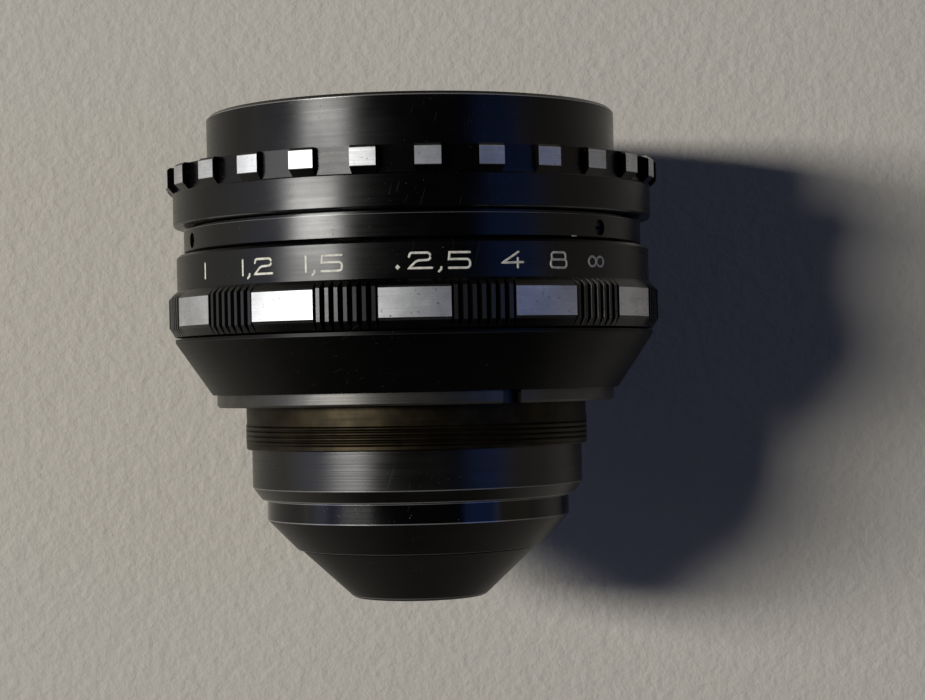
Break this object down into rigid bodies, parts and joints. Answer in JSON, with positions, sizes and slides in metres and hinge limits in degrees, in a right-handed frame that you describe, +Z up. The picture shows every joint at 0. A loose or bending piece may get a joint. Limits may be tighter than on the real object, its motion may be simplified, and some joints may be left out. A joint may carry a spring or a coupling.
{
  "type": "prime camera lens",
  "caption": "Small black wide-angle prime lens with two bright-toothed grip rings, conical rear cell, brass screw mount, turning focus ring and working iris.",
  "frame": {"origin": "centre of the mounting flange's seat face, on the optical axis", "axes": "-Y along the optical axis towards the subject, +Y towards the camera, +Z up with the focusing scale on top"},
  "size_m": [0.0454, 0.0445, 0.0454],
  "materials": {
    "brass": "turned, dulled",
    "flange_metal": "turned grey",
    "black_alloy": "black anodised",
    "black_satin": "black anodised, satin",
    "black_gloss": "black anodised, finely turned and polished",
    "black_matte": "matt black",
    "grip_ring": "black anodised with bright turned lands",
    "steel": "bright",
    "blade_steel": "blued",
    "glass": "polished",
    "coated_glass": "polished, single blue coating"
  },
  "bodies": {
    "mount_body": {"mount_tube": "brass", "flange_ring": "flange_metal", "body_tube": "black_alloy", "body_skirt": "black_satin", "rear_guard": "black_satin", "helicoid_retainer": "brass", "guide_pin": "steel", "focus_stop_pin": "steel"},
    "focus_unit": {"focus_ring": "grip_ring", "helicoid_sleeve": "brass", "helicoid_screws": "steel"},
    "lens_block": {"lens_barrel": "black_gloss", "index_sleeve": "black_satin", "sleeve_screws": "steel", "front_barrel": "black_satin", "front_trim_ring": "black_matte", "front_element": "coated_glass", "second_cell": "black_alloy", "second_element": "coated_glass", "second_retainer": "black_matte", "iris_housing": "black_alloy", "doublet_front": "glass", "doublet_rear": "glass", "inner_spacer": "black_matte", "inner_element": "glass", "rear_cell": "black_satin", "rear_element": "coated_glass", "rear_cap": "black_satin"},
    "iris_unit": {"iris_ring": "grip_ring", "iris_cam": "brass", "iris_drive_pin": "steel"},
    "iris_blade_1": {"blade_1": "blade_steel"},
    "iris_blade_2": {"blade_2": "blade_steel"},
    "iris_blade_3": {"blade_3": "blade_steel"},
    "iris_blade_4": {"blade_4": "blade_steel"},
    "iris_blade_5": {"blade_5": "blade_steel"},
    "iris_blade_6": {"blade_6": "blade_steel"},
    "iris_blade_7": {"blade_7": "blade_steel"},
    "iris_blade_8": {"blade_8": "blade_steel"}
  },
  "joints": [
    {"name": "focus_turn", "type": "hinge", "parent": "mount_body", "child": "focus_unit", "pos_m": [0, -0.01, 0], "axis": [0, -1, 0], "range_deg": [-5.4, 98.4]},
    {"name": "focus_travel", "type": "slide", "parent": "mount_body", "child": "lens_block", "axis": [0, -1, 0], "range_m": [-0.00001, 0.00014]},
    {"name": "iris_turn", "type": "hinge", "parent": "lens_block", "child": "iris_unit", "pos_m": [0, -0.019, 0], "axis": [0, -1, 0], "range_deg": [0, 60]},
    {"name": "blade_1_swing", "type": "hinge", "parent": "lens_block", "child": "iris_blade_1", "pos_m": [0.0099, -0.011, 0], "axis": [0, -1, 0], "range_deg": [0, 24.5]},
    {"name": "blade_2_swing", "type": "hinge", "parent": "lens_block", "child": "iris_blade_2", "pos_m": [0.007, -0.011, 0.007], "axis": [0, -1, 0], "range_deg": [0, 24.5]},
    {"name": "blade_3_swing", "type": "hinge", "parent": "lens_block", "child": "iris_blade_3", "pos_m": [0, -0.011, 0.0099], "axis": [0, -1, 0], "range_deg": [0, 24.5]},
    {"name": "blade_4_swing", "type": "hinge", "parent": "lens_block", "child": "iris_blade_4", "pos_m": [-0.007, -0.011, 0.007], "axis": [0, -1, 0], "range_deg": [0, 24.5]},
    {"name": "blade_5_swing", "type": "hinge", "parent": "lens_block", "child": "iris_blade_5", "pos_m": [-0.0099, -0.011, 0], "axis": [0, -1, 0], "range_deg": [0, 24.5]},
    {"name": "blade_6_swing", "type": "hinge", "parent": "lens_block", "child": "iris_blade_6", "pos_m": [-0.007, -0.011, -0.007], "axis": [0, -1, 0], "range_deg": [0, 24.5]},
    {"name": "blade_7_swing", "type": "hinge", "parent": "lens_block", "child": "iris_blade_7", "pos_m": [0, -0.011, -0.0099], "axis": [0, -1, 0], "range_deg": [0, 24.5]},
    {"name": "blade_8_swing", "type": "hinge", "parent": "lens_block", "child": "iris_blade_8", "pos_m": [0.007, -0.011, -0.007], "axis": [0, -1, 0], "range_deg": [0, 24.5]}
  ],
  "couplings": [
    {"joint": "focus_travel", "follows": "focus_turn", "m_per_rad": 0.000079577},
    {"joint": "blade_1_swing", "follows": "iris_turn", "ratio": 0.40833},
    {"joint": "blade_2_swing", "follows": "iris_turn", "ratio": 0.40833},
    {"joint": "blade_3_swing", "follows": "iris_turn", "ratio": 0.40833},
    {"joint": "blade_4_swing", "follows": "iris_turn", "ratio": 0.40833},
    {"joint": "blade_5_swing", "follows": "iris_turn", "ratio": 0.40833},
    {"joint": "blade_6_swing", "follows": "iris_turn", "ratio": 0.40833},
    {"joint": "blade_7_swing", "follows": "iris_turn", "ratio": 0.40833},
    {"joint": "blade_8_swing", "follows": "iris_turn", "ratio": 0.40833}
  ]
}
